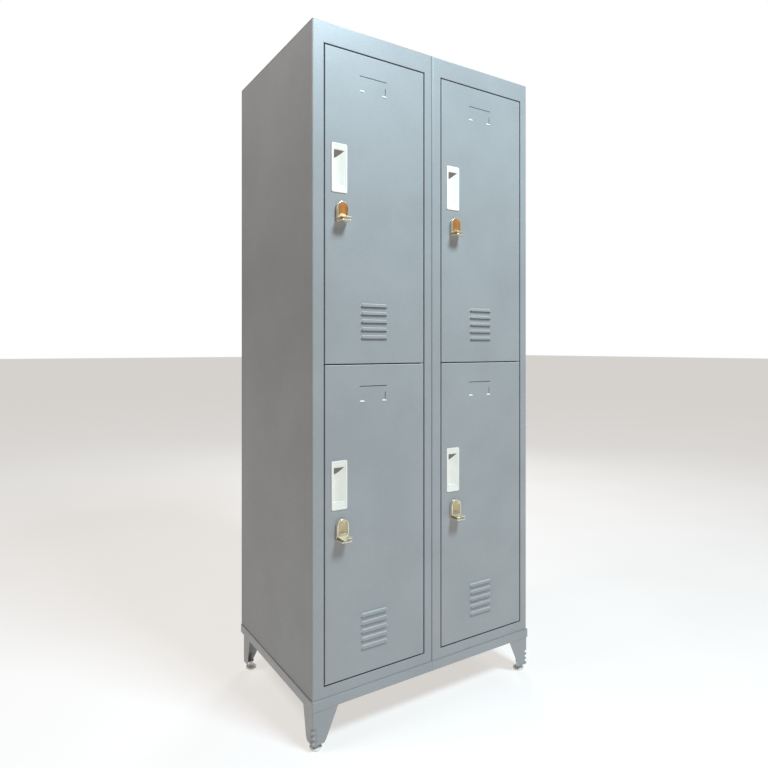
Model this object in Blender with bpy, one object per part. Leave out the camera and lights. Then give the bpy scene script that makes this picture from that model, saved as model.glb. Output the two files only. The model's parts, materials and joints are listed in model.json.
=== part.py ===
"""Steel locker cabinet: two columns, two tiers, on a base frame with four levelling legs.

Metres, +Z up, front facing -Y. The origin is on the floor, in the middle of the plan box that the
body and its padlock hasps fill together.
"""
import math

import bmesh
import bpy
from mathutils import Matrix, Vector

# ---- overall size ---------------------------------------------------------------------------------
WIDTH = 0.760
BODY_DEPTH = 0.500
TOTAL_HEIGHT = 1.850
BASE_HEIGHT = 0.130

# ---- sheet and clearances -------------------------------------------------------------------------
SHEET = 0.0008
FIT = 0.0003
PANEL_FLANGE = 0.020
SEAM = 0.0005

# ---- front frames ---------------------------------------------------------------------------------
LATCH_STILE = 0.032
HINGE_STILE = 0.026
TOP_RAIL = 0.054
BOTTOM_RAIL = 0.028
STOP_LIP = 0.010
STOP_CLEARANCE = 0.0032

# ---- doors ----------------------------------------------------------------------------------------
DOOR_GAP = 0.003
DOOR_DEPTH = 0.016
DOOR_LIP = 0.010
PIVOT_INSET = 0.005
PIN_RADIUS = 0.0020
PIN_CLEARANCE = 0.0002
PIN_REACH = 0.007
PIN_HEAD_RADIUS = 0.0035
PIN_HEAD = 0.0012
BRACKET_SHEET = 0.0012
BRACKET_MARGIN = 0.0025
BRACKET_DEPTH = 0.0095
STIFFENER_WIDTH = 0.056
STIFFENER_CROWN = 0.028
STIFFENER_HEIGHT = 0.010
STIFFENER_TOP_DROP = 0.125
STIFFENER_BOTTOM_RISE = 0.185

# ---- pressed features of a door -------------------------------------------------------------------
LOUVRE_COUNT = 5
LOUVRE_WIDTH = 0.088
LOUVRE_SLOT = 0.003
LOUVRE_PITCH = 0.021
LOUVRE_FROM_LATCH_EDGE = 0.105
LOUVRE_RISE = 0.066
CARD_FROM_LATCH_EDGE = 0.104
CARD_WIDTH = 0.086
CARD_HEIGHT = 0.040
CARD_DROP = 0.056
CARD_SLIT = 0.0014
CARD_TAB = 0.026

# ---- pull handle ----------------------------------------------------------------------------------
PULL_FROM_LATCH_EDGE = 0.018
PULL_DROP = 0.246
PULL_WIDTH = 0.047
PULL_HEIGHT = 0.127
PULL_PROUD = 0.0025
PULL_WALL = 0.0015
PULL_SIDE_RIM = 0.0070
PULL_TOP_RIM = 0.0175
PULL_BOTTOM_RIM = 0.0155
PULL_DEEP = 0.0115
PULL_SHALLOW = -0.0012
PULL_DRAFT = 0.0015

# ---- padlock hasp ---------------------------------------------------------------------------------
HASP_FROM_LATCH_EDGE = 0.048
HASP_DROP = 0.4155
HASP_REACH = 0.032
HASP_PLATE = 0.002
HASP_PLATE_HALF = 0.0160
KNOB_RADIUS = 0.0170
KNOB_ARCH_RISE = 0.003
KNOB_FOOT = 0.024
KNOB_PROUD = 0.010
DISH_RADIUS = 0.030
DISH_DEPTH = 0.004
FLANGE = 0.002
FLANGE_HALF = 0.016
FIXED_FLANGE_DROP = 0.032
EYE_RADIUS = 0.0045
EYE_FROM_TIP = 0.0085
SLEEVE_RADIUS = 0.009
SLEEVE_REACH = 0.010
SHAFT_RADIUS = 0.003
CAM_SHEET = 0.002
CAM_HALF = 0.007
CAM_OVERLAP = 0.006
CAM_BEHIND_LIP = 0.0015

# ---- inside ---------------------------------------------------------------------------------------
SHELF_RIM = 0.020
ROD_RADIUS = 0.008
ROD_DROP = 0.070

# ---- base, legs and glides ------------------------------------------------------------------------
BASE_OUTSET = 0.003
RAIL_HEIGHT = 0.026
RAIL_FLANGE = 0.022
RAIL_SHEET = 0.0012
LEG_SHEET = 0.0015
LEG_FRONT_TOP = 0.075
LEG_SIDE_TOP = 0.052
LEG_FRONT_FOOT = 0.040
LEG_SIDE_FOOT = 0.036
LEG_FOOT_CUT = 0.009
LEG_CUT_HEIGHT = 0.009
LEG_BOTTOM = 0.019
REAR_LEG_INSET = 0.020
FOOT_PLATE = 0.0025
FOOT_PLATE_RISE = 0.004
GLIDE_RADIUS = 0.0165
GLIDE_EDGE = 0.005
GLIDE_SHOULDER = 0.009
GLIDE_CROWN_RADIUS = 0.0132
GLIDE_NECK_RADIUS = 0.007
GLIDE_STUD_RADIUS = 0.004
GLIDE_STUD_ABOVE_PLATE = 0.024
GLIDE_INSET = 0.0185

# ---- modelling values -----------------------------------------------------------------------------
ROUND_SIDES = 24
PIN_SIDES = 16
SHARP_ANGLE = math.radians(35)
PIVOT_SIZE = 0.030
OVERRUN = 0.001

# ---- finishes: base colour, roughness, metallic -----------------------------------------------------
PAINT = ((0.36, 0.42, 0.45, 1.0), 0.45, 0.0)
PANEL_PAINT = ((0.24, 0.25, 0.25, 1.0), 0.5, 0.0)
ZINC = ((0.55, 0.56, 0.58, 1.0), 0.35, 1.0)
CHROME = ((0.80, 0.78, 0.74, 1.0), 0.12, 1.0)
WHITE_PLASTIC = ((0.80, 0.82, 0.81, 1.0), 0.35, 0.0)
NYLON = ((0.75, 0.73, 0.66, 1.0), 0.5, 0.0)

# ---- reference planes -----------------------------------------------------------------------------
FRONT = (HASP_REACH - BODY_DEPTH) / 2
BACK = FRONT + BODY_DEPTH
HALF = WIDTH / 2
FRAME_DEPTH = DOOR_DEPTH + STOP_CLEARANCE + SHEET
DOOR_HEIGHT = (TOTAL_HEIGHT - BASE_HEIGHT - TOP_RAIL - BOTTOM_RAIL - 3 * DOOR_GAP) / 2
OPENING_BOTTOM = BASE_HEIGHT + BOTTOM_RAIL
OPENING_TOP = TOTAL_HEIGHT - TOP_RAIL
MIDDLE = OPENING_BOTTOM + DOOR_GAP + DOOR_HEIGHT + DOOR_GAP / 2
PANEL_FRONT = FRONT + SHEET + FIT
PANEL_BACK = BACK - SHEET - FIT
SHELF_FRONT = FRONT + FRAME_DEPTH + FIT
SHELF_BACK = PANEL_BACK - SHEET - FIT
PLATE_BOTTOM = LEG_BOTTOM + FOOT_PLATE_RISE


# ---- mesh helpers ---------------------------------------------------------------------------------
def clear_scene():
    for item in list(bpy.data.objects):
        bpy.data.objects.remove(item, do_unlink=True)


def finish_of(name, finish):
    """A material of the object's own, from one of the finishes above."""
    colour, roughness, metallic = finish
    material = bpy.data.materials.new(name)
    material.use_nodes = True
    shader = material.node_tree.nodes["Principled BSDF"]
    shader.inputs["Base Color"].default_value = colour
    shader.inputs["Roughness"].default_value = roughness
    shader.inputs["Metallic"].default_value = metallic
    material.diffuse_color = colour
    return material


def solid(name, points, faces, finish=None, smooth=False):
    """One object from points and faces, with its faces pointing out. No finish: a hidden tool."""
    mesh = bpy.data.meshes.new(name)
    mesh.from_pydata([tuple(p) for p in points], [], faces)
    work = bmesh.new()
    work.from_mesh(mesh)
    bmesh.ops.recalc_face_normals(work, faces=work.faces)
    work.to_mesh(mesh)
    work.free()
    item = bpy.data.objects.new(name, mesh)
    bpy.context.collection.objects.link(item)
    if finish is None:
        item.hide_render = True
        item.display_type = "WIRE"
    else:
        mesh.materials.append(finish_of(name, finish))
    if smooth:
        mesh.shade_smooth()
        mesh.set_sharp_from_angle(angle=SHARP_ANGLE)
    return item


def loft(name, rings, finish=None, closed=False, smooth=False):
    """Skin rings that have the same number of points; cap both ends unless the skin closes on itself."""
    size = len(rings[0])
    points = [p for ring in rings for p in ring]
    spans = len(rings) if closed else len(rings) - 1
    faces = []
    for i in range(spans):
        a = i * size
        b = (i + 1) % len(rings) * size
        for j in range(size):
            k = (j + 1) % size
            faces.append((a + j, a + k, b + k, b + j))
    if not closed:
        faces.append(tuple(range(size)))
        faces.append(tuple(range(len(points) - size, len(points))))
    return solid(name, points, faces, finish, smooth)


def along(axis, a, b, c):
    """A point at (a, b) across an axis and c along it."""
    if axis == "X":
        return (c, a, b)
    if axis == "Y":
        return (a, c, b)
    return (a, b, c)


def ring(axis, rect, c, inset=0.0):
    """The four corners of rect = (a0, a1, b0, b1), moved in by inset, at c along the axis."""
    a0, a1, b0, b1 = rect[0] + inset, rect[1] - inset, rect[2] + inset, rect[3] - inset
    return [along(axis, a, b, c) for a, b in ((a0, b0), (a1, b0), (a1, b1), (a0, b1))]


def block(name, low, high, finish=None):
    rect = (low[0], high[0], low[1], high[1])
    return loft(name, [ring("Z", rect, low[2]), ring("Z", rect, high[2])], finish)


def prism(name, axis, outline, start, end, finish=None):
    """A straight section: an outline across an axis, drawn out from start to end."""
    rings = [[along(axis, a, b, c) for a, b in outline] for c in (start, end)]
    return loft(name, rings, finish)


def tray(name, axis, rect, face, rim, finish, lip=0.0):
    """A sheet folded at its four edges: a face, a flange from face to rim, and a lip turned inward."""
    step = math.copysign(SHEET, rim - face)
    rings = [ring(axis, rect, face), ring(axis, rect, rim)]
    if lip:
        rings.append(ring(axis, rect, rim, lip))
        rings.append(ring(axis, rect, rim - step, lip))
        rings.append(ring(axis, rect, rim - step, SHEET))
    else:
        rings.append(ring(axis, rect, rim, SHEET))
    rings.append(ring(axis, rect, face + step, SHEET))
    return loft(name, rings, finish)


def turned(name, axis, centre, profile, finish=None, sides=ROUND_SIDES):
    """A turned piece: (radius, place along the axis) pairs, from one flat end to the other."""
    rings = []
    for radius, place in profile:
        turn = [2 * math.pi * (i + 0.5) / sides for i in range(sides)]
        offsets = [along(axis, radius * math.cos(t), radius * math.sin(t), place) for t in turn]
        rings.append([Vector(centre) + Vector(o) for o in offsets])
    return loft(name, rings, finish, smooth=finish is not None)


def merged(name, tools):
    """One hidden tool from several closed shapes that lie apart."""
    work = bmesh.new()
    for tool in tools:
        work.from_mesh(tool.data)
        bpy.data.objects.remove(tool, do_unlink=True)
    mesh = bpy.data.meshes.new(name)
    work.to_mesh(mesh)
    work.free()
    item = bpy.data.objects.new(name, mesh)
    bpy.context.collection.objects.link(item)
    item.hide_render = True
    item.display_type = "WIRE"
    return item


def combine(item, tool, operation="DIFFERENCE"):
    """Cut a hidden tool out of an item, or join it on."""
    modifier = item.modifiers.new(tool.name, "BOOLEAN")
    modifier.operation = operation
    modifier.solver = "EXACT"
    modifier.object = tool


def pivot(name, place):
    empty = bpy.data.objects.new(name, None)
    empty.empty_display_size = PIVOT_SIZE
    empty.location = place
    bpy.context.collection.objects.link(empty)
    return empty


def hang(items, parent):
    """Let pieces, and the tools that shape them, turn with a parent whose turning is still zero."""
    bpy.context.view_layer.update()
    for item in items:
        item.parent = parent
        item.matrix_parent_inverse = parent.matrix_world.inverted()
        for modifier in item.modifiers:
            modifier.object.parent = parent
            modifier.object.matrix_parent_inverse = parent.matrix_world.inverted()


# ---- carcass --------------------------------------------------------------------------------------
def columns():
    """Each column's name and its left and right limits."""
    return (("left", -HALF, -SEAM / 2), ("right", SEAM / 2, HALF))


def inner_walls(side):
    """The faces of the two walls that a column's shelves and rods run between."""
    if side == "left":
        return -HALF + SHEET + FIT, -SHEET / 2 - FIT
    return SHEET / 2 + FIT, HALF - SHEET - FIT


def opening_of(left, right):
    """The opening of a column's front frame, as (x0, x1, z0, z1)."""
    return (left + LATCH_STILE, right - HINGE_STILE, OPENING_BOTTOM, OPENING_TOP)


def build_walls():
    panel = (PANEL_FRONT, PANEL_BACK, BASE_HEIGHT, TOTAL_HEIGHT - SHEET - FIT)
    tray("left_side_panel", "X", panel, -HALF, -HALF + PANEL_FLANGE, PANEL_PAINT)
    tray("right_side_panel", "X", panel, HALF, HALF - PANEL_FLANGE, PANEL_PAINT)
    block("back_panel", (-HALF, BACK - SHEET, BASE_HEIGHT), (HALF, BACK, TOTAL_HEIGHT), PANEL_PAINT)
    block("top_panel", (-HALF, PANEL_FRONT, TOTAL_HEIGHT - SHEET), (HALF, PANEL_BACK, TOTAL_HEIGHT),
          PANEL_PAINT)
    web = SHEET / 2
    front_edge, back_edge = PANEL_FRONT, PANEL_BACK
    outline = []
    for side in (1, -1):
        half = [(side * PANEL_FLANGE, front_edge), (side * PANEL_FLANGE, front_edge + SHEET),
                (side * web, front_edge + SHEET), (side * web, back_edge - SHEET),
                (side * PANEL_FLANGE, back_edge - SHEET), (side * PANEL_FLANGE, back_edge)]
        outline += half if side == 1 else half[::-1]
    prism("center_partition", "Z", outline, BASE_HEIGHT, TOTAL_HEIGHT - SHEET - FIT, PANEL_PAINT)


def build_front_frame(side, left, right):
    """Face, returns round the opening and a stop lip behind the doors, folded from one sheet."""
    outer = (left, right, BASE_HEIGHT, TOTAL_HEIGHT)
    opening = opening_of(left, right)
    lip_face = FRONT + FRAME_DEPTH - SHEET
    rings = [
        ring("Y", outer, FRONT),
        ring("Y", opening, FRONT),
        ring("Y", opening, lip_face),
        ring("Y", opening, lip_face, STOP_LIP),
        ring("Y", opening, FRONT + FRAME_DEPTH, STOP_LIP),
        ring("Y", opening, FRONT + FRAME_DEPTH, -SHEET),
        ring("Y", opening, FRONT + SHEET, -SHEET),
        ring("Y", outer, FRONT + SHEET),
    ]
    frame = loft(side + "_front_frame", rings, PAINT, closed=True)
    x, y = hinge_line(right)
    hole = PIN_RADIUS + PIN_CLEARANCE
    tools = [turned("hole", "Z", (x, y, z), ((hole, -PIN_REACH), (hole, PIN_REACH)), sides=PIN_SIDES)
             for z in (OPENING_BOTTOM, OPENING_TOP)]
    tools.append(block("slot", (opening[1] - OVERRUN, FRONT + BRACKET_MARGIN - FIT,
                                MIDDLE - BRACKET_SHEET / 2 - FIT),
                       (opening[1] + SHEET + OVERRUN, FRONT + BRACKET_MARGIN + BRACKET_DEPTH + FIT,
                        MIDDLE + BRACKET_SHEET / 2 + FIT)))
    combine(frame, merged(side + "_frame_holes", tools))


def build_shelves(side):
    """Tier shelf and floor shelf of a column, each a tray with its rim turned down."""
    x0, x1 = inner_walls(side)
    rect = (x0, x1, SHELF_FRONT, SHELF_BACK)
    tray(side + "_tier_shelf", "Z", rect, MIDDLE + SHELF_RIM / 2, MIDDLE - SHELF_RIM / 2, PANEL_PAINT)
    tray(side + "_floor_shelf", "Z", rect, OPENING_BOTTOM, BASE_HEIGHT + SHEET + FIT, PANEL_PAINT)


def build_coat_rods(side):
    x0, x1 = inner_walls(side)
    ceilings = (("upper", TOTAL_HEIGHT - SHEET), ("lower", MIDDLE - SHELF_RIM / 2))
    for tier, ceiling in ceilings:
        centre = (0.0, (SHELF_FRONT + SHELF_BACK) / 2, ceiling - ROD_DROP)
        turned(f"{tier}_{side}_coat_rod", "X", centre, ((ROD_RADIUS, x0), (ROD_RADIUS, x1)), ZINC)


# ---- hinge line -----------------------------------------------------------------------------------
def hinge_line(right):
    """Plan position of a column's hinge line, inside the doors' hinge edge."""
    return right - HINGE_STILE - DOOR_GAP - PIVOT_INSET, FRONT + PIVOT_INSET


def build_hinge_line(side, right):
    """Top, middle and bottom pins, fixed in the frame, and the bracket between the two doors."""
    x, y = hinge_line(right)
    edge = right - HINGE_STILE
    bracket = block(side + "_pivot_bracket",
                    (x - PIVOT_INSET, FRONT + BRACKET_MARGIN, MIDDLE - BRACKET_SHEET / 2),
                    (edge + PIVOT_INSET, FRONT + BRACKET_MARGIN + BRACKET_DEPTH, MIDDLE + BRACKET_SHEET / 2),
                    ZINC)
    hole = PIN_RADIUS + PIN_CLEARANCE
    combine(bracket, turned(side + "_bracket_hole", "Z", (x, y, MIDDLE),
                            ((hole, -PIN_REACH), (hole, PIN_REACH)), sides=PIN_SIDES))
    turned(side + "_middle_hinge_pin", "Z", (x, y, MIDDLE),
           ((PIN_RADIUS, -PIN_REACH), (PIN_RADIUS, PIN_REACH)), ZINC, PIN_SIDES)
    seat = SHEET + FIT
    for place, level, up in (("top", OPENING_TOP, 1), ("bottom", OPENING_BOTTOM, -1)):
        profile = ((PIN_RADIUS, -up * PIN_REACH), (PIN_RADIUS, up * seat),
                   (PIN_HEAD_RADIUS, up * seat), (PIN_HEAD_RADIUS, up * (seat + PIN_HEAD)))
        turned(f"{side}_{place}_hinge_pin", "Z", (x, y, level), profile, ZINC, PIN_SIDES)


# ---- doors ----------------------------------------------------------------------------------------
class Door:
    """Sizes and reference lines of one door."""

    def __init__(self, tier, side, left, right):
        self.name = f"{tier}_{side}"
        self.left = left + LATCH_STILE + DOOR_GAP
        self.right = right - HINGE_STILE - DOOR_GAP
        self.bottom = OPENING_BOTTOM + DOOR_GAP
        if tier == "upper":
            self.bottom += DOOR_HEIGHT + DOOR_GAP
        self.top = self.bottom + DOOR_HEIGHT
        self.hinge = hinge_line(right)
        self.hasp = (self.left + HASP_FROM_LATCH_EDGE, self.top - HASP_DROP)
        pull_left = self.left + PULL_FROM_LATCH_EDGE
        pull_top = self.top - PULL_DROP
        self.pull = (pull_left, pull_left + PULL_WIDTH, pull_top - PULL_HEIGHT, pull_top)


def pull_mouth(door):
    """The mouth of the pull, inside its rim."""
    x0, x1, z0, z1 = door.pull
    return (x0 + PULL_SIDE_RIM, x1 - PULL_SIDE_RIM, z0 + PULL_BOTTOM_RIM, z1 - PULL_TOP_RIM)


def through_slot(x0, x1, z0, z1):
    """A cutter for a slot through the face of a door."""
    return block("slot", (x0, FRONT - OVERRUN, z0), (x1, FRONT + SHEET + OVERRUN, z1))


def door_cutouts(door):
    """Everything cut through a door panel, as one tool."""
    tools = []
    x0 = door.left + LOUVRE_FROM_LATCH_EDGE
    for i in range(LOUVRE_COUNT):
        z = door.bottom + LOUVRE_RISE + i * LOUVRE_PITCH
        tools.append(through_slot(x0, x0 + LOUVRE_WIDTH, z - LOUVRE_SLOT / 2, z + LOUVRE_SLOT / 2))
    card_left = door.left + CARD_FROM_LATCH_EDGE
    card_right = card_left + CARD_WIDTH
    card_top = door.top - CARD_DROP
    card_foot = card_top - CARD_HEIGHT
    tools.append(through_slot(card_left, card_right, card_top - CARD_SLIT, card_top))
    for left in (card_left, card_right - CARD_TAB):
        tools.append(through_slot(left, left + CARD_TAB, card_foot, card_foot + CARD_SLIT))
    mouth = pull_mouth(door)
    grow = PULL_WALL + FIT
    tools.append(through_slot(mouth[0] - grow, mouth[1] + grow, mouth[2] - grow, mouth[3] + grow))
    sleeve = SLEEVE_RADIUS + FIT
    x, z = door.hasp
    tools.append(turned("hole", "Y", (x, FRONT, z), ((sleeve, -OVERRUN), (sleeve, SHEET + OVERRUN))))
    hole = PIN_RADIUS + PIN_CLEARANCE
    through = SHEET + OVERRUN
    for level in (door.bottom, door.top):
        tools.append(turned("hole", "Z", (*door.hinge, level), ((hole, -through), (hole, through)),
                            sides=PIN_SIDES))
    return merged(door.name + "_door_cutouts", tools)


def build_door_panel(door):
    rect = (door.left, door.right, door.bottom, door.top)
    panel = tray(door.name + "_door_panel", "Y", rect, FRONT, FRONT + DOOR_DEPTH, PAINT, DOOR_LIP)
    combine(panel, door_cutouts(door))
    return panel


def build_stiffener(door):
    """A hat channel up the middle of the door's inner face."""
    middle = (door.left + door.right) / 2
    seat = FRONT + SHEET + FIT
    crown = seat + STIFFENER_HEIGHT
    foot, top = STIFFENER_WIDTH / 2, STIFFENER_CROWN / 2
    half = [(foot, seat), (foot, seat + SHEET), (top, seat + SHEET), (top, crown)]
    under = [(top - SHEET, crown - SHEET), (top - SHEET, seat)]
    outline = half + [(-a, b) for a, b in half[::-1]] + [(-a, b) for a, b in under[::-1]] + under
    outline = [(middle + a, b) for a, b in outline]
    return prism(door.name + "_door_stiffener", "Z", outline, door.bottom + STIFFENER_BOTTOM_RISE,
                 door.top - STIFFENER_TOP_DROP, PAINT)


def build_pull(door):
    """Moulded pull: a raised rim and a pocket that is deep on the latch side and runs out shallow."""
    mouth = pull_mouth(door)
    x0, x1, z0, z1 = mouth
    d = PULL_DRAFT
    depths = ((x0 + d, z0 + d, PULL_DEEP), (x1 - d, z0 + d, PULL_SHALLOW),
              (x1 - d, z1 - d, PULL_SHALLOW), (x0 + d, z1 - d, PULL_DEEP))
    rings = [
        [(x, FRONT + depth, z) for x, z, depth in depths],
        ring("Y", mouth, FRONT - PULL_PROUD),
        ring("Y", door.pull, FRONT - PULL_PROUD),
        ring("Y", door.pull, FRONT - FIT),
        ring("Y", mouth, FRONT - FIT, -PULL_WALL),
        ring("Y", mouth, FRONT + PULL_DEEP + PULL_WALL, -PULL_WALL),
    ]
    return loft(door.name + "_pull_handle", rings, WHITE_PLASTIC)


def eye_flange(name, x, z_top, root):
    """A padlock flange that stands out from the door, with its eye bored through it."""
    tip = FRONT - HASP_REACH
    return block(name, (x - FLANGE_HALF, tip, z_top - FLANGE), (x + FLANGE_HALF, root, z_top))


def eye_hole(name, x, z_low, z_high):
    """A cutter for the padlock eye of a flange."""
    centre = (x, FRONT - HASP_REACH + EYE_FROM_TIP, 0.0)
    return turned(name, "Z", centre, ((EYE_RADIUS, z_low), (EYE_RADIUS, z_high)), sides=PIN_SIDES)


def build_hasp_base(door):
    """Fixed part of the hasp: a plate on the door, a sleeve through it and the lower eye flange."""
    x, z = door.hasp
    face = FRONT - FIT - HASP_PLATE
    low = z - FIXED_FLANGE_DROP - FLANGE
    rect = (x - HASP_PLATE_HALF, x + HASP_PLATE_HALF, low, z + KNOB_RADIUS + KNOB_ARCH_RISE)
    base = loft(door.name + "_hasp_base", [ring("Y", rect, face), ring("Y", rect, FRONT - FIT)], CHROME)
    name = door.name + "_base"
    combine(base, turned(name + "_sleeve", "Y", (x, FRONT, z),
                         ((SLEEVE_RADIUS, -FIT - HASP_PLATE / 2), (SLEEVE_RADIUS, SLEEVE_REACH))), "UNION")
    combine(base, eye_flange(name + "_flange", x, z - FIXED_FLANGE_DROP, FRONT - FIT - HASP_PLATE / 2),
            "UNION")
    bore = SHAFT_RADIUS + PIN_CLEARANCE
    bore_ends = ((bore, face - FRONT - OVERRUN), (bore, SLEEVE_REACH + OVERRUN))
    holes = [turned("bore", "Y", (x, FRONT, z), bore_ends, sides=PIN_SIDES),
             eye_hole("eye", x, low - OVERRUN, low + FLANGE + OVERRUN)]
    combine(base, merged(name + "_holes", holes))
    return base


def knob_outline(x, z):
    """An arch: a half circle on two straight sides, with a straight foot."""
    steps = ROUND_SIDES // 2
    arch = [(x + KNOB_RADIUS * math.cos(math.pi * i / steps),
             z + KNOB_ARCH_RISE + KNOB_RADIUS * math.sin(math.pi * i / steps)) for i in range(steps + 1)]
    return arch + [(x - KNOB_RADIUS, z - KNOB_FOOT), (x + KNOB_RADIUS, z - KNOB_FOOT)]


def build_hasp_knob(door):
    """Turning part: the dished arch knob, its shaft through the sleeve and the upper eye flange."""
    x, z = door.hasp
    back = FRONT - FIT - HASP_PLATE - FIT
    name = door.name + "_knob"
    knob = prism(door.name + "_hasp_knob", "Y", knob_outline(x, z), FRONT - KNOB_PROUD, back, CHROME)
    shaft_end = FRONT + FRAME_DEPTH + CAM_BEHIND_LIP + CAM_SHEET
    combine(knob, turned(name + "_shaft", "Y", (x, 0.0, z),
                         ((SHAFT_RADIUS, FRONT - KNOB_PROUD / 2), (SHAFT_RADIUS, shaft_end)),
                         sides=PIN_SIDES), "UNION")
    flange_top = z - KNOB_FOOT + FLANGE / 2
    combine(knob, eye_flange(name + "_flange", x, flange_top, back), "UNION")
    dish_centre = FRONT - KNOB_PROUD + DISH_DEPTH - DISH_RADIUS
    dish = ball(name + "_dish", (x, dish_centre, z - KNOB_ARCH_RISE), DISH_RADIUS)
    combine(knob, dish)
    combine(knob, eye_hole(name + "_eye", x, flange_top - FLANGE - OVERRUN, flange_top + OVERRUN))
    return knob


def ball(name, centre, radius):
    """A closed sphere of quads and triangles, for hollowing."""
    work = bmesh.new()
    bmesh.ops.create_uvsphere(work, u_segments=ROUND_SIDES, v_segments=ROUND_SIDES, radius=radius,
                              matrix=Matrix.Translation(centre) @ Matrix.Rotation(math.pi / 2, 4, "X"))
    mesh = bpy.data.meshes.new(name)
    work.to_mesh(mesh)
    work.free()
    item = bpy.data.objects.new(name, mesh)
    bpy.context.collection.objects.link(item)
    item.hide_render = True
    item.display_type = "WIRE"
    return item


def build_cam(door):
    """Cam on the knob's shaft; it points up, clear of the frame, until the knob is turned."""
    x, z = door.hasp
    front = FRONT + FRAME_DEPTH + CAM_BEHIND_LIP
    reach = HASP_FROM_LATCH_EDGE + DOOR_GAP - STOP_LIP + CAM_OVERLAP
    rect = (x - CAM_HALF, x + CAM_HALF, z - CAM_HALF, z + reach)
    cam = loft(door.name + "_lock_cam", [ring("Y", rect, front), ring("Y", rect, front + CAM_SHEET)], ZINC)
    bore = SHAFT_RADIUS + PIN_CLEARANCE
    combine(cam, turned(door.name + "_cam_bore", "Y", (x, front, z),
                        ((bore, -OVERRUN), (bore, CAM_SHEET + OVERRUN)), sides=PIN_SIDES))
    return cam


def build_door(door):
    hinge = pivot(door.name + "_door_axis", (*door.hinge, (door.bottom + door.top) / 2))
    hang([build_door_panel(door), build_stiffener(door), build_pull(door), build_hasp_base(door)], hinge)
    turn = pivot(door.name + "_hasp_axis", (door.hasp[0], FRONT, door.hasp[1]))
    hang([build_hasp_knob(door), build_cam(door)], turn)
    hang([turn], hinge)


# ---- base -----------------------------------------------------------------------------------------
BASE_X = HALF + BASE_OUTSET
BASE_FRONT = FRONT - BASE_OUTSET
RAIL_TOP = BASE_HEIGHT - FIT
RAIL_FOOT = RAIL_TOP - RAIL_HEIGHT


def angle_rail(name, axis, face, inward, start, end, mitres=(1, 1)):
    """An angle section with its flange turned in at the top; a mitred end is cut back by its depth."""
    t, w = RAIL_SHEET, RAIL_FLANGE
    outline = ((0, RAIL_FOOT), (t, RAIL_FOOT), (t, RAIL_TOP - t), (w, RAIL_TOP - t), (w, RAIL_TOP),
               (0, RAIL_TOP))
    ends = ((start, mitres[0]), (end, -mitres[1]))
    rings = [[along(axis, face + inward * depth, z, place + cut * (depth + FIT)) for depth, z in outline]
             for place, cut in ends]
    loft(name, rings, PAINT)


def build_rails():
    """Mitred angle rails round the base; the front one is in two halves that meet at the seam."""
    angle_rail("left_front_base_rail", "X", BASE_FRONT, 1, -BASE_X, -SEAM / 2, (1, 0))
    angle_rail("right_front_base_rail", "X", BASE_FRONT, 1, SEAM / 2, BASE_X, (0, 1))
    angle_rail("left_side_base_rail", "Y", -BASE_X, 1, BASE_FRONT, BACK)
    angle_rail("right_side_base_rail", "Y", BASE_X, -1, BASE_FRONT, BACK)
    angle_rail("rear_base_rail", "X", BACK, -1, -BASE_X, BASE_X)


def leg_section(corner, sx, sy, front, side, z):
    """An angle at height z: front is its width along X and side its width along Y."""
    t = LEG_SHEET
    outline = ((0, 0), (front, 0), (front, t), (t, t), (t, side), (0, side))
    return [(corner[0] - sx * a, corner[1] - sy * b, z) for a, b in outline]


def build_leg(end, side, corner, sx, sy):
    """Tapered pressed leg with a plate across its foot, and the levelling glide screwed into it."""
    top = RAIL_TOP - RAIL_SHEET - FIT
    levels = ((LEG_FRONT_TOP, LEG_SIDE_TOP, top), (LEG_FRONT_TOP, LEG_SIDE_TOP, RAIL_FOOT),
              (LEG_FRONT_FOOT, LEG_SIDE_FOOT, LEG_BOTTOM + LEG_CUT_HEIGHT),
              (LEG_FRONT_FOOT - LEG_FOOT_CUT, LEG_SIDE_FOOT - LEG_FOOT_CUT, LEG_BOTTOM))
    leg = loft(f"{end}_{side}_leg", [leg_section(corner, sx, sy, *level) for level in levels], PAINT)
    inner, far = LEG_SHEET / 2, 2 * GLIDE_INSET - LEG_SHEET
    xs = sorted((corner[0] - sx * inner, corner[0] - sx * far))
    ys = sorted((corner[1] - sy * inner, corner[1] - sy * far))
    plate = block(f"{end}_{side}_foot_plate", (xs[0], ys[0], PLATE_BOTTOM),
                  (xs[1], ys[1], PLATE_BOTTOM + FOOT_PLATE))
    combine(leg, plate, "UNION")
    centre = (corner[0] - sx * GLIDE_INSET, corner[1] - sy * GLIDE_INSET, 0.0)
    hole = GLIDE_STUD_RADIUS + PIN_CLEARANCE
    combine(leg, turned(f"{end}_{side}_stud_hole", "Z", centre,
                        ((hole, PLATE_BOTTOM - OVERRUN), (hole, PLATE_BOTTOM + FOOT_PLATE + OVERRUN)),
                        sides=PIN_SIDES))
    build_glide(f"{end}_{side}_glide", centre)


def build_glide(name, centre):
    """Nylon levelling glide: a flat foot, a domed shoulder, a neck and a stud up through the plate."""
    stop = PLATE_BOTTOM - FIT
    profile = ((GLIDE_RADIUS, 0.0), (GLIDE_RADIUS, GLIDE_EDGE), (GLIDE_CROWN_RADIUS, GLIDE_SHOULDER),
               (GLIDE_NECK_RADIUS, GLIDE_SHOULDER), (GLIDE_NECK_RADIUS, stop), (GLIDE_STUD_RADIUS, stop),
               (GLIDE_STUD_RADIUS, PLATE_BOTTOM + GLIDE_STUD_ABOVE_PLATE))
    glide = turned(name, "Z", centre, profile, NYLON)
    axis = pivot(name + "_axis", centre)
    hang([glide], axis)


def build_legs():
    inset = RAIL_SHEET + FIT
    for side, sx in (("left", -1), ("right", 1)):
        x = sx * (BASE_X - inset)
        build_leg("front", side, (x, BASE_FRONT + inset), sx, -1)
        build_leg("rear", side, (x, BACK - REAR_LEG_INSET), sx, 1)


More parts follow.
